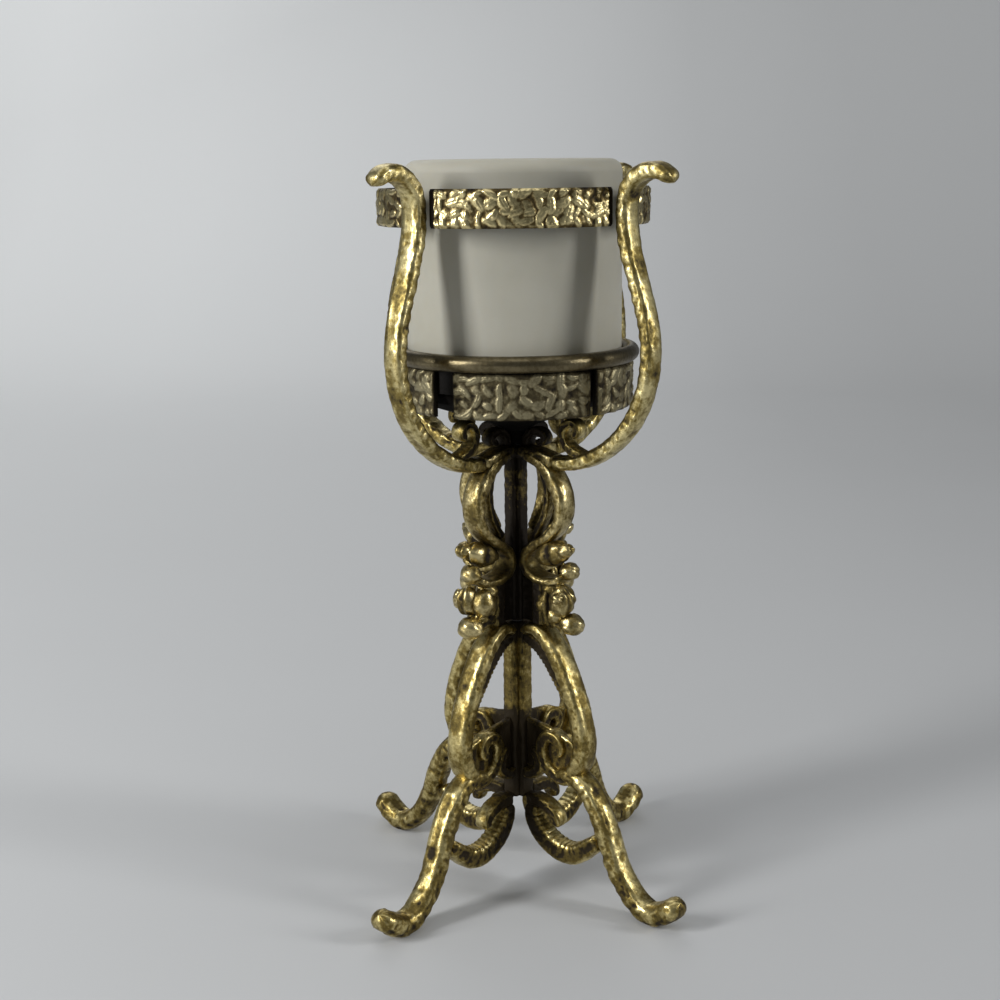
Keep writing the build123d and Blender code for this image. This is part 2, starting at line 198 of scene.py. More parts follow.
def bar(shape, line, depth, width, relief, outer=0.0, step=0.5, cols=44, power=3.2, caps=(2.0, 2.0), soot=None):
    """One cast bar: a superellipse section swept along the line (r, z) or (r, t, z).
    Across the line a point lies at a*sgn(cos)|cos|^(2/p) in the bracket's plane and b*sgn(sin)|sin|^(2/p) out of it,
    moved out along the section's normal by relief(s, phi) in mm, where phi = 0 is the middle of the outer face."""
    p = np.asarray(line, float)
    if p.shape[1] == 2:
        p = np.stack([p[:, 0], np.zeros(len(p)), p[:, 1]], 1)
    place, run, s, knots = spline(p, step)
    total = s[-1]
    a = np.interp(s, knots, np.broadcast_to(depth, len(p))) / 2
    b = np.interp(s, knots, np.broadcast_to(width, len(p))) / 2
    grow = np.ones_like(s)
    for cap, run_in in ((caps[0], s), (caps[1], total - s)):
        grow *= np.sqrt(np.clip(1 - np.clip(1 - run_in / cap, 0, 1) ** 2, 0, 1))
    across = np.array([0.0, 1.0, 0.0])
    normal = np.cross(run, across)
    normal /= np.linalg.norm(normal, axis=1, keepdims=True)
    beside = np.cross(normal, run)
    theta = np.linspace(0, 2 * math.pi, cols, endpoint=False)
    c, d = np.cos(theta), np.sin(theta)
    e = 2 / power
    cx, dx = np.sign(c) * np.abs(c) ** e, np.sign(d) * np.abs(d) ** e
    nx, ny = np.sign(c) * np.abs(c) ** (2 - e), np.sign(d) * np.abs(d) ** (2 - e)
    size = np.hypot(nx, ny)
    nx, ny = nx / size, ny / size
    phi = np.mod(theta - outer + math.pi, 2 * math.pi) - math.pi
    S, PHI = np.meshgrid(s, phi, indexing="ij")
    h = relief(S, PHI)
    fade = (grow**0.5)[:, None]
    u = (a * grow)[:, None] * cx + h * fade * nx
    v = (b * grow)[:, None] * dx + h * fade * ny
    points = place[:, None, :] + normal[:, None, :] * u[..., None] + beside[:, None, :] * v[..., None]
    shape.add(points, h, soot(points) if soot else 0.0)


def blob(shape, centre, radii, tilt=0.0, seed=1, rough=0.25, rows=30, cols=40, soot=None, lobes=0):
    """A cast bud or leaf: an ellipsoid (r, t, z) turned by tilt about the t axis, dented by value noise and, where
    lobes are given, by grooves that run from pole to pole."""
    la = np.linspace(-math.pi / 2, math.pi / 2, rows)[:, None]
    lo = np.linspace(0, 2 * math.pi, cols, endpoint=False)[None, :]
    fine = noise(lo * 8 / (2 * math.pi) + 0 * la, la * 2.2 + seed, seed)
    side = np.sin(lo) * np.cos(la) * 2 + np.sin(la) * 3 + seed * 3
    n = noise(np.cos(lo) * np.cos(la) * 2 + 5, side, seed) * 0.7 + fine * 0.3
    h = (n - 0.55) * rough
    if lobes:
        h = h - rough * np.clip(np.cos(lo * lobes), 0, 1) ** 3 * np.cos(la)
    k = 1 + h
    x = radii[0] * k * np.cos(la) * np.cos(lo)
    y = radii[1] * k * np.cos(la) * np.sin(lo)
    z = radii[2] * k * np.sin(la) + 0 * lo
    ct, st = math.cos(tilt), math.sin(tilt)
    x, z = x * ct + z * st, z * ct - x * st
    points = np.stack([x + centre[0], y + centre[1], z + centre[2]], -1)
    shape.add(points, h * min(radii) * 0.45, soot(points) if soot else 0.0)


# Reliefs


def bark(seed, groove=0.42, pit=0.55, pitch=4.6, fine=0.16):
    """Bark-like casting: long narrow dents on the outer face and a row of pits down each inner edge."""
    def relief(s, phi):
        turns = phi / (2 * math.pi)
        long_dent = noise(s / 6.5 + seed, turns * 11 + 20, seed + 1, 11)
        short_dent = noise(s / 2.6, turns * 15 + 30, seed + 2, 15)
        dents = smooth(long_dent, 0.56, 0.8) * 0.75 + smooth(short_dent, 0.62, 0.86) * 0.6
        cell = np.floor(s / pitch)
        at = (cell + 0.3 + 0.4 * hashed(cell, 3, seed)) * pitch
        row = np.exp(-(((s - at) / 1.3) ** 2)) * np.exp(-(((np.abs(phi) - 2.25) / 0.42) ** 2))
        chips = smooth(noise(s / 1.3, turns * 26, seed + 5, 26), 0.5, 0.85)
        flank = np.exp(-(((np.abs(phi) - 1.55) / 0.5) ** 2)) * chips
        grain = noise(s / 0.9, turns * 34, seed + 3, 34) - 0.5
        return -groove * dents * (0.6 + 0.4 * np.cos(phi) ** 2) - pit * row - groove * 0.8 * flank + fine * grain
    return relief


def scroll_skin(seed, bead=0.0, pitch=1.9, fine=0.2):
    """Inner scroll: a raised rim with a hollowed flank, pitted, and beads along the outer edge where bead > 0."""
    def relief(s, phi):
        turns = phi / (2 * math.pi)
        flank = np.exp(-(((np.abs(phi) - 1.57) / 0.45) ** 2))
        pits = smooth(noise(s / 1.2, turns * 22, seed, 22), 0.45, 0.85)
        edge = np.exp(-(((np.abs(phi) - 0.6) / 0.5) ** 2))
        beads = bead * (np.abs(np.sin(math.pi * s / pitch + seed)) - 0.5) * edge
        grain = noise(s / 0.8, turns * 30, seed + 3, 30) - 0.5
        return -0.35 * flank - 0.35 * pits * (0.3 + flank) + beads + fine * grain
    return relief


# Materials


def node(tree, kind, at=(0, 0), **values):
    """Adds a node, sets its plain properties, and its sockets where a name is a socket's."""
    n = tree.nodes.new(kind)
    n.location = at
    for key, value in values.items():
        if key in n.inputs:
            n.inputs[key].default_value = value
        else:
            setattr(n, key, value)
    return n


def map_range(tree, at, low, high, to_low=0.0, to_high=1.0):
    """Carries the values from low to high over to those from to_low to to_high."""
    sockets = {"From Min": low, "From Max": high, "To Min": to_low, "To Max": to_high}
    return node(tree, "ShaderNodeMapRange", at, **sockets)


def scaled(tree, at, times, plus):
    """Multiplies its first input by `times` and adds `plus`."""
    n = node(tree, "ShaderNodeMath", at, operation="MULTIPLY_ADD")
    n.inputs[1].default_value = times
    n.inputs[2].default_value = plus
    return n


def new_material(name):
    """A material with one principled shader, and its node tree."""
    mat = bpy.data.materials.new(name)
    mat.use_nodes = True
    tree = mat.node_tree
    tree.nodes.clear()
    out = node(tree, "ShaderNodeOutputMaterial", (900, 0))
    shader = node(tree, "ShaderNodeBsdfPrincipled", (600, 0))
    tree.links.new(shader.outputs[0], out.inputs[0])
    return mat, tree, shader


def gilt(name, bright, olive, dark, dull=0.0, roughness=0.3, shade_below=None):
    """Antiqued gilding: bright metal on what stands out, olive patina on the flats, brown-black in the recesses,
    darker again by each point's patina and painted shade, and black below the given height in metres where one
    is given, as painted shade."""
    mat, tree, shader = new_material(name)
    link = tree.links.new
    coord = node(tree, "ShaderNodeTexCoord", (-1500, 0))
    relief = node(tree, "ShaderNodeAttribute", (-1500, 300), attribute_name="relief")
    soot = node(tree, "ShaderNodeAttribute", (-1500, 500), attribute_name="soot")
    broad = node(tree, "ShaderNodeTexNoise", (-1300, 0), Scale=130.0, Detail=6.0, Roughness=0.65)
    grain = node(tree, "ShaderNodeTexNoise", (-1300, -250), Scale=900.0, Detail=4.0, Roughness=0.65)
    link(coord.outputs["Object"], broad.inputs["Vector"])
    link(coord.outputs["Object"], grain.inputs["Vector"])
    high = map_range(tree, (-1100, 300), -0.55, 0.12)
    link(relief.outputs["Fac"], high.inputs["Value"])
    mixed = scaled(tree, (-900, 150), 1.5, -0.78)
    link(broad.outputs["Fac"], mixed.inputs[0])
    worn = node(tree, "ShaderNodeMath", (-700, 250), operation="ADD")
    link(high.outputs["Result"], worn.inputs[0])
    link(mixed.outputs[0], worn.inputs[1])
    speckle = scaled(tree, (-700, 50), 0.9, -0.45)
    link(grain.outputs["Fac"], speckle.inputs[0])
    specked = node(tree, "ShaderNodeMath", (-600, 200), operation="ADD")
    link(worn.outputs[0], specked.inputs[0])
    link(speckle.outputs[0], specked.inputs[1])
    # each point's patina and painted shade is taken off before the colour is chosen
    sooty = node(tree, "ShaderNodeMath", (-500, 300), operation="SUBTRACT")
    link(specked.outputs[0], sooty.inputs[0])
    if shade_below is None:
        link(soot.outputs["Fac"], sooty.inputs[1])
    else:
        # painted shade: black below the given height
        place = node(tree, "ShaderNodeSeparateXYZ", (-1300, 500))
        under = map_range(tree, (-1100, 500), shade_below - BLACK_EDGE, shade_below + BLACK_EDGE, 2.0, 0.0)
        link(coord.outputs["Object"], place.inputs[0])
        link(place.outputs["Z"], under.inputs["Value"])
        link(under.outputs["Result"], sooty.inputs[1])
    ramp = node(tree, "ShaderNodeValToRGB", (-300, 200))
    ramp.color_ramp.elements[0].position = 0.05
    ramp.color_ramp.elements[0].color = (*dark, 1)
    ramp.color_ramp.elements[1].position = 1.0
    ramp.color_ramp.elements[1].color = (*bright, 1)
    middle = ramp.color_ramp.elements.new(0.55)
    middle.color = (*olive, 1)
    link(sooty.outputs[0], ramp.inputs["Fac"])
    link(ramp.outputs["Color"], shader.inputs["Base Color"])
    metal = map_range(tree, (-300, -50), 0.0, 0.45, 0.35, 1.0 - dull)
    link(sooty.outputs[0], metal.inputs["Value"])
    link(metal.outputs["Result"], shader.inputs["Metallic"])
    rough = map_range(tree, (-300, -300), 0.1, 0.9, roughness + RECESS_ROUGHER, roughness)
    link(sooty.outputs[0], rough.inputs["Value"])
    link(rough.outputs["Result"], shader.inputs["Roughness"])
    shader.inputs["Specular IOR Level"].default_value = 0.2
    bump = node(tree, "ShaderNodeBump", (300, -300), Strength=0.35, Distance=0.0003)
    link(grain.outputs["Fac"], bump.inputs["Height"])
    link(bump.outputs["Normal"], shader.inputs["Normal"])
    return mat


def wax():
    """Candle wax: off-white, softly lit from inside, with a faint mottle."""
    mat, tree, shader = new_material("candle_wax")
    link = tree.links.new
    coord = node(tree, "ShaderNodeTexCoord", (-900, 0))
    mottle = node(tree, "ShaderNodeTexNoise", (-700, 0), Scale=35.0, Detail=4.0)
    link(coord.outputs["Object"], mottle.inputs["Vector"])
    ramp = node(tree, "ShaderNodeValToRGB", (-500, 0))
    ramp.color_ramp.elements[0].position = 0.35
    ramp.color_ramp.elements[0].color = (0.425, 0.408, 0.335, 1)
    ramp.color_ramp.elements[1].position = 0.7
    ramp.color_ramp.elements[1].color = (0.48, 0.463, 0.39, 1)
    link(mottle.outputs["Fac"], ramp.inputs["Fac"])
    link(ramp.outputs["Color"], shader.inputs["Base Color"])
    shader.inputs["Roughness"].default_value = 0.55
    shader.inputs["Subsurface Weight"].default_value = 0.35
    shader.inputs["Subsurface Radius"].default_value = (1.0, 0.8, 0.55)
    shader.inputs["Subsurface Scale"].default_value = 0.003
    bump = node(tree, "ShaderNodeBump", (-200, -300), Strength=0.12, Distance=0.0004)
    link(mottle.outputs["Fac"], bump.inputs["Height"])
    link(bump.outputs["Normal"], shader.inputs["Normal"])
    return mat


def cotton():
    """Burnt wick: twisted fibres, black to dark brown."""
    mat, tree, shader = new_material("wick_cotton")
    link = tree.links.new
    coord = node(tree, "ShaderNodeTexCoord", (-900, 0))
    twist = node(tree, "ShaderNodeTexWave", (-700, 0), Scale=420.0, Distortion=2.0)
    twist.wave_type = "BANDS"
    twist.bands_direction = "DIAGONAL"
    link(coord.outputs["Object"], twist.inputs["Vector"])
    ramp = node(tree, "ShaderNodeValToRGB", (-500, 0))
    ramp.color_ramp.elements[0].color = (0.02, 0.018, 0.015, 1)
    ramp.color_ramp.elements[1].color = (0.16, 0.14, 0.11, 1)
    link(twist.outputs["Fac"], ramp.inputs["Fac"])
    link(ramp.outputs["Color"], shader.inputs["Base Color"])
    shader.inputs["Roughness"].default_value = 0.9
    return mat


BRIGHT = (0.82, 0.70, 0.35)
OLIVE = (0.27, 0.205, 0.065)
DARK = (0.026, 0.018, 0.008)
BLACK = (0.016, 0.011, 0.006)
gilt_arm = gilt("gilt_arm", BRIGHT, OLIVE, DARK)
gilt_stem = gilt("gilt_stem", (0.72, 0.60, 0.30), (0.20, 0.15, 0.05), BLACK)
gilt_base = gilt("gilt_base", (0.80, 0.67, 0.31), (0.25, 0.185, 0.055), DARK)
gilt_upper = gilt("gilt_upper_band", (0.76, 0.64, 0.33), (0.145, 0.105, 0.042), BLACK, roughness=0.28)
gilt_lower = gilt("gilt_lower_band", (0.30, 0.262, 0.155), (0.10, 0.08, 0.04), (0.016, 0.012, 0.007),
                  dull=0.3, roughness=0.4)
gilt_pan = gilt("gilt_pan", (0.20, 0.165, 0.095), (0.10, 0.08, 0.042), (0.006, 0.005, 0.004),
                roughness=0.28, shade_below=PAN_RIM_LOW)
# near-black gilding for the post and bell: painted shade under the pan
dark_post = gilt("dark_post", (0.012, 0.010, 0.007), (0.008, 0.0065, 0.005), (0.004, 0.003, 0.002),
                 dull=0.75, roughness=0.7)


# Castings


def core_soot(reach, depth=1.0):
    """Dark patina and painted shade on what lies near the axis, fading out at `reach` mm from it."""
    return lambda p: depth * (1 - smooth(np.hypot(p[..., 0], p[..., 1]), 2.0, reach))


def stem_line(*shares):
    """Places (r, z) of the stem casting from shares of the strap's reach and of the stem's height."""
    return [(LYRE_REACH * u, BASE_TOP + STEM_HEIGHT * v) for u, v in shares]


def bow_line(*shares):
    """Places (r, z) of the lower casting from shares of the bow's reach and of the casting's height."""
    return [(BOW_REACH * u, BASE_TOP * v) for u, v in shares]


def leg_line(*shares):
    """Places (r, z) of the leg from shares of its reach beyond the bow and of the casting's height."""
    return [(LEG_ROOT + (FOOT_REACH - LEG_ROOT) * u, BASE_TOP * v) for u, v in shares]


def arm_line():
    """A quarter of an ellipse to the widest place, half a cosine wave up to the neck, then the finial."""
    a = np.radians(np.arange(0, 91, 15))
    belly = ROOT_HEIGHT + BELLY_RISE
    sweep = np.stack([ROOT_RADIUS + (BELLY_RADIUS - ROOT_RADIUS) * np.sin(a), belly - BELLY_RISE * np.cos(a)], 1)
    v = np.array([0.2, 0.4, 0.6, 0.8, 1.0])
    beyond_neck = (BELLY_RADIUS - NECK_RADIUS) * (1 + np.cos(math.pi * v)) / 2
    rise = np.stack([NECK_RADIUS + beyond_neck, belly + NECK_RISE * v], 1)
    tip = [(0.75, 5.5), (3.7, 10.0), (8.2, 12.7), (12.7, 13.0), (16.5, 11.4), (18.7, 9.1)]
    return np.concatenate([sweep, rise, np.array(tip) + (NECK_RADIUS, NECK_HEIGHT)])


def make_arm(place, turn, k):
    """The arm casting with the small scroll beside its root."""
    shape = Shape()
    line = arm_line()
    depth = np.array([5.2] + [5.6] * 11 + [5.6, 6.0, 6.0, 5.7, 5.0, 3.7])
    width = np.array([8.0] * 9 + [8.4] + [8.8] * 6 + [8.2, 6.6])
    bar(shape, line, depth, width, bark(10 + k, 0.3, 0.38), outer=math.pi, caps=(0.6, 2.6),
        soot=core_soot(36, 0.5))
    curl = [(13.5, 3.4), (9.0, 4.6), (5.1, 7.1), (3.7, 10.6), (5.1, 13.8),
            (7.9, 14.9), (10.1, 13.2), (9.5, 10.8), (7.7, 10.6)]
    bar(shape, np.array(curl) + (ROOT_RADIUS, ROOT_HEIGHT), [3.0, 3.6, 3.8, 3.8, 3.6, 3.4, 3.2, 3.0, 2.6], 6.4,
        scroll_skin(20 + k), soot=core_soot(40, 0.7))
    obj = shape.piece(f"cast_arm_{place}", turn, gilt_arm)
    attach(obj, "stand")
    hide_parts(f"arm_{place}")


def make_base(place, turn, k):
    """The lower casting: bow, rib, inner scrolls on a web, leg, the scrolls under the leg, and the spine."""
    shape = Shape()
    bow = bow_line((0.16, 0.958), (0.226, 0.982), (0.339, 0.985), (0.468, 0.963), (0.597, 0.918), (0.726, 0.855),
                   (0.839, 0.781), (0.935, 0.702), (0.994, 0.624), (1.0, 0.56), (0.935, 0.506), (0.839, 0.467))
    bar(shape, bow, [3.5, 4.1, 5.2, 6.0, 6.5, 6.7, 6.7, 6.7, 6.9, 7.1, 6.9, 5.6], 9.2, bark(30 + k, 0.25, 0.3),
        soot=core_soot(12, 0.5))
    rib = bow_line((0.142, 0.953), (0.299, 0.938), (0.447, 0.905), (0.582, 0.857), (0.692, 0.808), (0.786, 0.766),
                   (0.865, 0.707))
    bar(shape, rib, [4.0, 5.0, 5.0, 5.0, 4.8, 4.4, 3.0], 7.4, scroll_skin(35 + k, bead=0.5), outer=math.pi,
        soot=core_soot(30, 0.8))
    volute = bow_line((0.92, 0.467), (0.755, 0.442), (0.57, 0.452), (0.437, 0.491), (0.409, 0.543), (0.497, 0.587),
                      (0.629, 0.585), (0.679, 0.546), (0.575, 0.523))
    bar(shape, volute, [4.6, 5.0, 5.2, 5.2, 5.2, 5.0, 4.8, 4.4, 3.6], 6.8, scroll_skin(40 + k),
        soot=core_soot(24, 0.45))
    hub = bow_line((0.1, 0.428), (0.252, 0.426), (0.362, 0.457), (0.352, 0.501), (0.239, 0.524))
    bar(shape, hub, [4.2, 4.4, 4.2, 4.0, 3.2], 6.8, scroll_skin(45 + k), soot=core_soot(24, 0.6))
    web = bow_line((0.06, 0.535), (0.45, 0.53), (0.88, 0.525))
    bar(shape, web, [21.0, 19.0, 12.0], 2.4, scroll_skin(47 + k), power=7, soot=core_soot(24, 0.75))
    leg = leg_line((0.0, 0.447), (0.09, 0.466), (0.189, 0.452), (0.279, 0.408), (0.351, 0.349), (0.405, 0.285),
                   (0.45, 0.221), (0.504, 0.157), (0.576, 0.103), (0.665, 0.058), (0.764, 0.038), (0.863, 0.055),
                   (0.942, 0.088), (0.99, 0.118))
    bar(shape, leg, [3.9, 5.6, 7.0, 7.7, 7.9, 7.9, 7.7, 7.5, 7.5, 7.7, 8.1, 8.3, 8.0, 6.6],
        [7.5, 8.8, 9.4] + [9.6] * 8 + [10.2, 10.2, 9.0], bark(50 + k, 0.38, 0.4, 5.2), caps=(2.0, 4.2), power=2.7)
    under = bow_line((0.267, 0.309), (0.27, 0.26), (0.352, 0.214), (0.503, 0.177), (0.686, 0.157), (0.881, 0.162),
                     (1.053, 0.195))
    under += leg_line((0.351, 0.245))
    bar(shape, under, [6.0, 7.0, 7.8, 8.2, 8.2, 7.8, 7.0, 6.0], 7.6, scroll_skin(60 + k, bead=0.35, pitch=2.6),
        soot=core_soot(26, 0.5))
    hook = bow_line((0.157, 0.319), (0.346, 0.324), (0.513, 0.309), (0.623, 0.275), (0.613, 0.244))
    bar(shape, hook, [5.0, 5.0, 4.8, 4.4, 3.4], 6.6, scroll_skin(65 + k), soot=core_soot(26, 0.8))
    spine = [(2.7, 33.0), (2.7, 70), (2.7, BASE_TOP - 0.2)]
    # black at the foot and at the top, and half gilt between: dark patina and painted shade where the four castings
    # meet at the axis
    black_ends = lambda p: 1.1 - 0.85 * smooth(p[..., 2], 62, 72) * (1 - smooth(p[..., 2], 92, 99))
    bar(shape, spine, 5.0, [6.6, 5.8, 5.4], bark(70 + k, 0.2, 0.2), power=5, caps=(0.6, 0.6), cols=32, soot=black_ends)
    obj = shape.piece(f"cast_base_{place}", turn, gilt_base, low=0.0)
    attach(obj, "stand")
    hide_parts(f"base_{place}")


def make_stem(place, turn, k):
    """The stem casting: shoulder, lyre strap, spine, crown scroll, and the stalk with its buds."""
    shape = Shape()
    shade = core_soot(20, 0.75)
    # the spine is black but for its middle: dark patina and painted shade where the four castings meet at the axis
    dark = lambda p: 1.1 - 0.5 * smooth(p[..., 2], 138, 150) * (1 - smooth(p[..., 2], 158, 163))
    shoulder = [(1.2, 165.4), (8.0, 165.5), (14.0, 164.5), (ROOT_RADIUS - 0.3, ROOT_HEIGHT)]
    bar(shape, shoulder, [5.0, 5.2, 5.3, 5.3], 7.6, bark(80 + k, 0.3, 0.3), caps=(0.5, 0.5), soot=shade)
    strap = stem_line((0.256, 0.949), (0.556, 0.914), (0.752, 0.855), (0.893, 0.785), (0.970, 0.702), (0.940, 0.613),
                      (0.791, 0.535), (0.547, 0.474), (0.345, 0.425), (0.248, 0.367), (0.291, 0.310), (0.449, 0.274),
                      (0.662, 0.262), (0.855, 0.273), (1.035, 0.308))
    bar(shape, strap, [3.9, 5.0, 6.4, 6.4, 5.4, 4.4] + [3.9] * 6 + [3.7, 3.5, 3.5], 8.8, bark(90 + k, 0.22, 0.3),
        soot=core_soot(19, 0.55))
    inner = stem_line((0.556, 0.892), (0.65, 0.802), (0.667, 0.711), (0.607, 0.62), (0.491, 0.545), (0.385, 0.485))
    bar(shape, inner, 2.6, 5.0, scroll_skin(95 + k), soot=core_soot(24, 0.7))
    spine = [(2.1, BASE_TOP + 0.3), (2.1, 140), (2.1, STEM_TOP - 0.2)]
    bar(shape, spine, 3.9, 4.8, bark(100 + k, 0.2, 0.2), power=5, caps=(0.5, 0.5), cols=32, soot=dark)
    stalk = [(11.7, 102.0), (11.7, 107.1), (11.7, 112.4), (11.7, 119.7)]
    bar(shape, stalk, [5.6, 5.2, 5.0, 4.6], 6.4, scroll_skin(105 + k), caps=(0.6, 1.0), soot=core_soot(24, 0.8))
    branch = stem_line((0.5, 0.05), (0.72, 0.045), (1.0, 0.03))
    bar(shape, branch, [4.2, 4.0, 4.0], 4.8, scroll_skin(108 + k), soot=core_soot(24, 0.6))
    # Each bud's centre and radii (r, t, z), its tilt in radians, and its number of lobes
    buds = [
        ((18.6, -1.2, 129.8), (8.2, 4.8, 4.6), -0.28, 4),
        ((25.2, -2.6, 132.2), (3.8, 3.0, 2.6), -0.3, 2),
        ((20.6, 2.2, 112.6), (4.8, 4.2, 5.4), 0, 0),
        ((23.6, -3.0, 113.1), (4.6, 4.0, 5.6), 0, 2),
        ((16.6, 0.5, 116.6), (4.4, 4.6, 3.4), 0, 3),
        ((24.4, -6.2, 115.2), (2.2, 2.2, 2.2), 0, 0),
        ((26.0, 0.4, 104.3), (4.6, 4.8, 4.0), 0, 0),
        ((19.6, -1.2, 107.2), (4.2, 4.4, 3.2), 0, 3),
        ((25.1, 0.2, 124.0), (3.5, 4.2, 3.4), 0, 0),
        ((15.2, -3.4, 110.5), (2.4, 2.2, 2.6), 0, 0),
    ]
    # a thin web between the spine and the stalk, near-black all over: painted shade in the gaps beside the spine
    web = [(7.4, 102.4), (7.4, 110.5), (7.4, 119.0)]
    bar(shape, web, 8.6, 2.4, scroll_skin(97 + k), power=7, caps=(0.5, 0.5), soot=lambda p: 1.0 + 0 * p[..., 2])
    blob(shape, (17.2, -0.4, 111.0), (5.2, 4.4, 8.6), seed=190 + k, rough=0.4, lobes=5, soot=core_soot(30, 1.0))
    crown = [(6.3, 167.2), (6.4, 170.4), (8.5, 172.9), (12.4, 173.5), (14.6, 171.6), (12.9, 169.8), (10.9, 170.8)]
    bar(shape, crown, [3.6, 3.4, 3.2, 3.2, 3.0, 2.8, 2.4], 5.6, scroll_skin(98 + k), soot=core_soot(34, 1.0))
    for n, (centre, radii, tilt, lobes) in enumerate(buds):
        blob(shape, centre, radii, tilt=tilt, seed=110 + 7 * n + k, rough=0.24, lobes=lobes, soot=core_soot(26, 0.9))
    obj = shape.piece(f"cast_stem_{place}", turn, gilt_stem)
    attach(obj, "stand")
    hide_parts(f"stem_{place}")


# Bands


def leaf_relief(x, y, length, height, seed):
    """Dense leafy relief of a band: short curled leaves and buds strewn over the whole face, each a ridge along an
    arc that tapers to its tip, over a rough ground whose long swells come from value noise."""
    h = -0.5 + 0.45 * noise(x / 2.2, y / 1.6, seed + 3)
    rng = np.random.default_rng(seed)
    for row, across in enumerate(np.linspace(0.12, 0.88, 4)):
        for cx in np.arange(0, length + 3, 4.2) + rng.uniform(0, 2):
            cy = height * (across + rng.uniform(-0.07, 0.07))
            turn = rng.uniform(-1.1, 1.1) + (0.5 if row % 2 else -0.5)
            size, wide, curl = rng.uniform(4.0, 8.2), rng.uniform(0.8, 1.7), rng.uniform(-0.12, 0.12)
            dx, dy = x - cx - rng.uniform(-0.7, 0.7), y - cy
            u = dx * math.cos(turn) + dy * math.sin(turn)
            v = -dx * math.sin(turn) + dy * math.cos(turn) + curl * u * u
            body = np.clip(1 - (2 * u / size) ** 2, 0, 1) ** 0.6
            crease = 0.2 * np.exp(-((v / 0.25) ** 2)) * body
            leaf = body * np.clip(1 - (v / (wide * (0.35 + body))) ** 2, 0, 1) ** 0.8 - crease
            h = np.maximum(h, -0.4 + leaf * rng.uniform(0.5, 0.95))
    return h + 0.16 * (noise(x / 0.7, y / 0.7, seed) - 0.5)


def make_plaque(name, place, start, arc, inner, low, height, material, blank=0.0):
    """A curved plaque: a rounded-rectangle section carried round an arc, its outer face raised by the leafy
    relief, with a plain margin of `blank` mm at each end."""
    start, end = math.radians(start), math.radians(start + arc)
    radius = inner + PLAQUE_THICK
    ang = np.linspace(start, end, int((end - start) * radius / PLAQUE_STEP))
    up = np.linspace(0, height, int(height / PLAQUE_STEP))
    m = len(up)
    outer = np.stack([np.full(m, radius - FACE_INSET), low + up], 1)
    inner_side = np.stack([np.full(BACK_POINTS, inner), np.linspace(low + height, low, BACK_POINTS)], 1)
    ring = np.concatenate([outer, inner_side])
    A, J = np.meshgrid(ang, np.arange(len(ring)), indexing="ij")
    R, Z = ring[J, 0].copy(), ring[J, 1]
    along = (A - start) * radius
    total = (end - start) * radius
    edge = np.minimum(along, total - along)
    plain = smooth(edge, blank, blank + 0.6) if blank else smooth(edge, -0.1, 0.9)
    rim = np.minimum(Z - low, low + height - Z)
    relief = leaf_relief(along, Z - low, total, height, 7 + int(A[0, 0] * 40) % 50)
    front = (J < m).astype(float)
    drop = 0.6 * (1 - smooth(rim, 0.0, 1.0))
    h = (relief * plain - 0.4 * (1 - plain)) * front
    R += (h * LEAF_DEPTH - drop) * front
    points = np.stack([R * np.cos(A), R * np.sin(A), Z], -1)
    points = np.concatenate([points[:1], points, points[-1:]])
    h = np.concatenate([h[:1], h, h[-1:]])
    back = 1 - front
    # darker at the plain ends, dark patina and painted shade beside the arms, and on the inner face, painted shade
    # behind the band
    soot = (1 - plain) * (0.9 if blank else 0.3) + 0.9 * back
    shape = Shape()
    shape.add(points, h, np.concatenate([soot[:1], soot, soot[-1:]]))
    obj = shape.piece(f"relief_{name}_{place}", 0, material)
    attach(obj, "stand")
    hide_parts(f"{name}_{place}")


def make_post():
    """The post and bell under the pan, near-black all over as painted shade: a profile of radius and height in mm,
    turned about the axis.
    """
    profile = np.array([(0, 168.4), (4.2, 168.4), (4.2, 173.0), (8.5, 175.4), (14, 177.6), (20, 179.8), (26, 181.6),
                        (32, 183.6), (36, 186.4), (37.4, 189.2), (37.4, 190.3), (0, 190.3)])
    steps = np.linspace(0, 1, 9)[:-1]
    between = profile[:-1, None] * (1 - steps[:, None]) + profile[1:, None] * steps[:, None]
    fine = np.concatenate([between.reshape(-1, 2), profile[-1:]])
    angle = np.linspace(0, 2 * math.pi, 96, endpoint=False)
    points = np.stack([fine[:, :1] * np.cos(angle), fine[:, :1] * np.sin(angle), fine[:, 1:] + 0 * angle], -1)
    shape = Shape()
    shape.add(points, 0.0, 1.0)
    obj = shape.piece("spun_post", 0, dark_post)
    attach(obj, "stand")
    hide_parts("pan_post")


# Stage


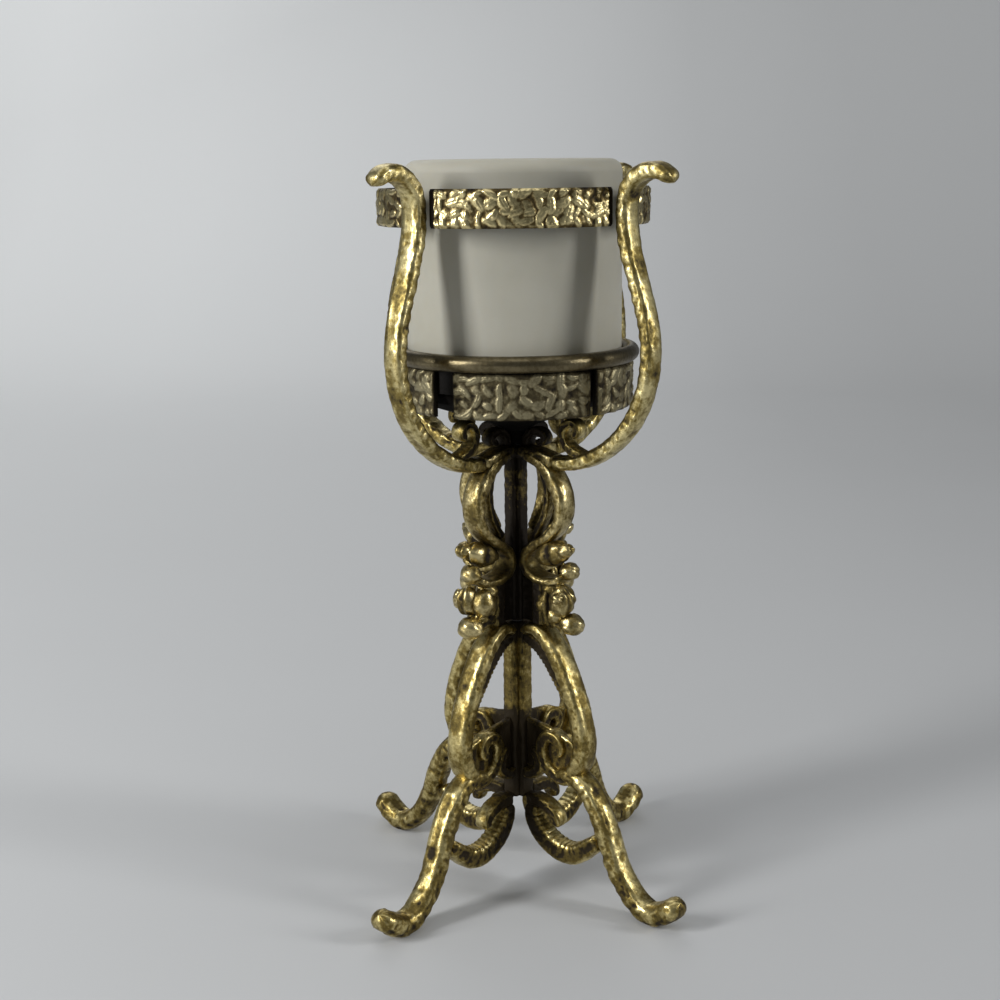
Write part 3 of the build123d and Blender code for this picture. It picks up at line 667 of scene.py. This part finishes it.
def make_stage():
    """Seamless pale paper: a floor that curves up into a backdrop, seen from the camera's side, painted darker towards
    the right, with a painted glow that only the camera sees, stronger towards the back and the left.
    """
    turn = VIEW_TURN
    near, bend, radius, back = -2.6, 1.3, 0.9, 2.2
    wall_low, wall_top, half_width = 1.1, 3.6, 3.2
    curve = np.linspace(0, math.pi / 2, 30)
    y = np.concatenate([np.linspace(near, bend, 30), bend + radius * np.sin(curve)[1:], np.full(12, back)])
    z = np.concatenate([np.zeros(30), radius * (1 - np.cos(curve))[1:], np.linspace(wall_low, wall_top, 12)])
    x = np.linspace(-half_width, half_width, 24)
    X, Y = np.meshgrid(x, y, indexing="ij")
    Z = np.broadcast_to(z, X.shape)
    pts = np.stack([X * math.cos(turn) - Y * math.sin(turn), X * math.sin(turn) + Y * math.cos(turn), Z], -1)
    rows, cols = X.shape
    i, j = np.meshgrid(np.arange(rows - 1), np.arange(cols - 1), indexing="ij")
    faces = np.stack([i * cols + j, (i + 1) * cols + j, (i + 1) * cols + j + 1, i * cols + j + 1], -1).reshape(-1, 4)
    mesh = bpy.data.meshes.new("paper")
    mesh.from_pydata(pts.reshape(-1, 3).tolist(), [], faces.tolist())
    mesh.polygons.foreach_set("use_smooth", np.ones(len(faces), bool))
    mat, tree, shader = new_material("paper")
    coord = node(tree, "ShaderNodeTexCoord", (-700, 0))
    mottle = node(tree, "ShaderNodeTexNoise", (-500, 0), Scale=3.0, Detail=3.0)
    # painted shade: the paper's colour runs from pale on the left of the view to darker on the right, with a faint
    # mottle
    ramp = node(tree, "ShaderNodeValToRGB", (-300, 0))
    ramp.color_ramp.elements[0].color = (0.66, 0.67, 0.675, 1)
    ramp.color_ramp.elements[1].color = (0.39, 0.395, 0.40, 1)
    across = node(tree, "ShaderNodeVectorMath", (-500, 250), operation="DOT_PRODUCT")
    across.inputs[1].default_value = (math.cos(turn), math.sin(turn), 0)
    fall = map_range(tree, (-300, 250), -0.5, 0.6)
    both = node(tree, "ShaderNodeMath", (-150, 250), operation="MULTIPLY_ADD")
    both.inputs[1].default_value = 0.12
    tree.links.new(coord.outputs["Object"], across.inputs[0])
    tree.links.new(across.outputs["Value"], fall.inputs["Value"])
    tree.links.new(coord.outputs["Object"], mottle.inputs["Vector"])
    tree.links.new(mottle.outputs["Fac"], both.inputs[0])
    tree.links.new(fall.outputs["Result"], both.inputs[2])
    tree.links.new(both.outputs[0], ramp.inputs["Fac"])
    # painted light: emission that only camera rays see, rising towards the back and falling off to the right
    away = node(tree, "ShaderNodeVectorMath", (-500, -250), operation="DOT_PRODUCT")
    away.inputs[1].default_value = (-math.sin(turn), math.cos(turn), 0)
    rise = map_range(tree, (-300, -250), 0.0, 2.2, 0.05, 0.47)
    side = map_range(tree, (-300, -500), -0.75, 0.3, 1.0, 0.42)
    painted_glow = node(tree, "ShaderNodeMath", (-100, -300), operation="MULTIPLY")
    seen = node(tree, "ShaderNodeMath", (100, -300), operation="MULTIPLY")
    ray = node(tree, "ShaderNodeLightPath", (-100, -600))
    tree.links.new(coord.outputs["Object"], away.inputs[0])
    tree.links.new(away.outputs["Value"], rise.inputs["Value"])
    tree.links.new(across.outputs["Value"], side.inputs["Value"])
    tree.links.new(rise.outputs["Result"], painted_glow.inputs[0])
    tree.links.new(side.outputs["Result"], painted_glow.inputs[1])
    tree.links.new(painted_glow.outputs[0], seen.inputs[0])
    tree.links.new(ray.outputs["Is Camera Ray"], seen.inputs[1])
    tree.links.new(seen.outputs[0], shader.inputs["Emission Strength"])
    shader.inputs["Emission Color"].default_value = (0.98, 1.0, 1.0, 1)
    tree.links.new(ramp.outputs["Color"], shader.inputs["Base Color"])
    shader.inputs["Roughness"].default_value = 0.8
    shader.inputs["Specular IOR Level"].default_value = 0.2
    mesh.materials.append(mat)
    obj = bpy.data.objects.new("paper", mesh)
    scene.collection.objects.link(obj)


def area_light(name, azimuth, elevation, distance, width, height, power, aim=(0, 0, 0.15)):
    """A soft box seen from the object at that azimuth in degrees from the camera's direction, positive to the right,
    and at that elevation; its distance, width and height are in metres and its power in watts."""
    turn = Matrix.Rotation(VIEW_TURN, 3, "Z")
    a, e = math.radians(azimuth), math.radians(elevation)
    spot = turn @ Vector((math.sin(a) * math.cos(e), -math.cos(a) * math.cos(e), math.sin(e))) * distance + Vector(aim)
    data = bpy.data.lights.new(name, "AREA")
    data.shape = "RECTANGLE"
    data.size, data.size_y = width, height
    data.energy = power
    obj = bpy.data.objects.new(name, data)
    obj.matrix_world = Matrix.Translation(spot) @ (Vector(aim) - spot).to_track_quat("-Z", "Y").to_matrix().to_4x4()
    scene.collection.objects.link(obj)


def make_lights():
    """A window at each side, a fill from above, a wash on the paper and a dim room."""
    area_light("left_window", -60, 22, distance=1.3, width=0.26, height=0.7, power=12.5)
    area_light("right_window", 74, 20, distance=1.3, width=0.22, height=0.6, power=6.5)
    area_light("top_fill", 0, 82, distance=1.6, width=1.4, height=1.4, power=5)
    area_light("back_wash", -150, 40, distance=1.8, width=1.2, height=1.2, power=5, aim=(0.3, 0.6, 0.2))
    world = bpy.data.worlds.new("room")
    world.use_nodes = True
    world.node_tree.nodes["Background"].inputs[0].default_value = (0.9, 0.95, 1.0, 1)
    world.node_tree.nodes["Background"].inputs[1].default_value = 0.15
    scene.world = world


# Assembly

add_camera()
for k, (place, turn) in enumerate(PLACES.items()):
    make_arm(place, turn, k)
    make_base(place, turn, k)
    make_stem(place, turn, k)
    gap = math.degrees(math.asin(UPPER_GAP / (UPPER_INNER + PLAQUE_THICK)))
    make_plaque("upper_plaque", place, turn + gap, 90 - 2 * gap, UPPER_INNER, *UPPER_PLAQUE, gilt_upper, UPPER_BLANK)
for place, (start, arc) in LOWER_SPANS.items():
    make_plaque("lower_plaque", place, start, arc, LOWER_INNER, *LOWER_PLAQUE, gilt_lower)
make_post()
for name, mat in (("drip_pan", gilt_pan), ("candle", wax()), ("wick", cotton())):
    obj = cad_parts[name]
    obj.data.materials.clear()
    obj.data.materials.append(mat)
make_stage()
make_lights()
scene.view_settings.view_transform = "Standard"
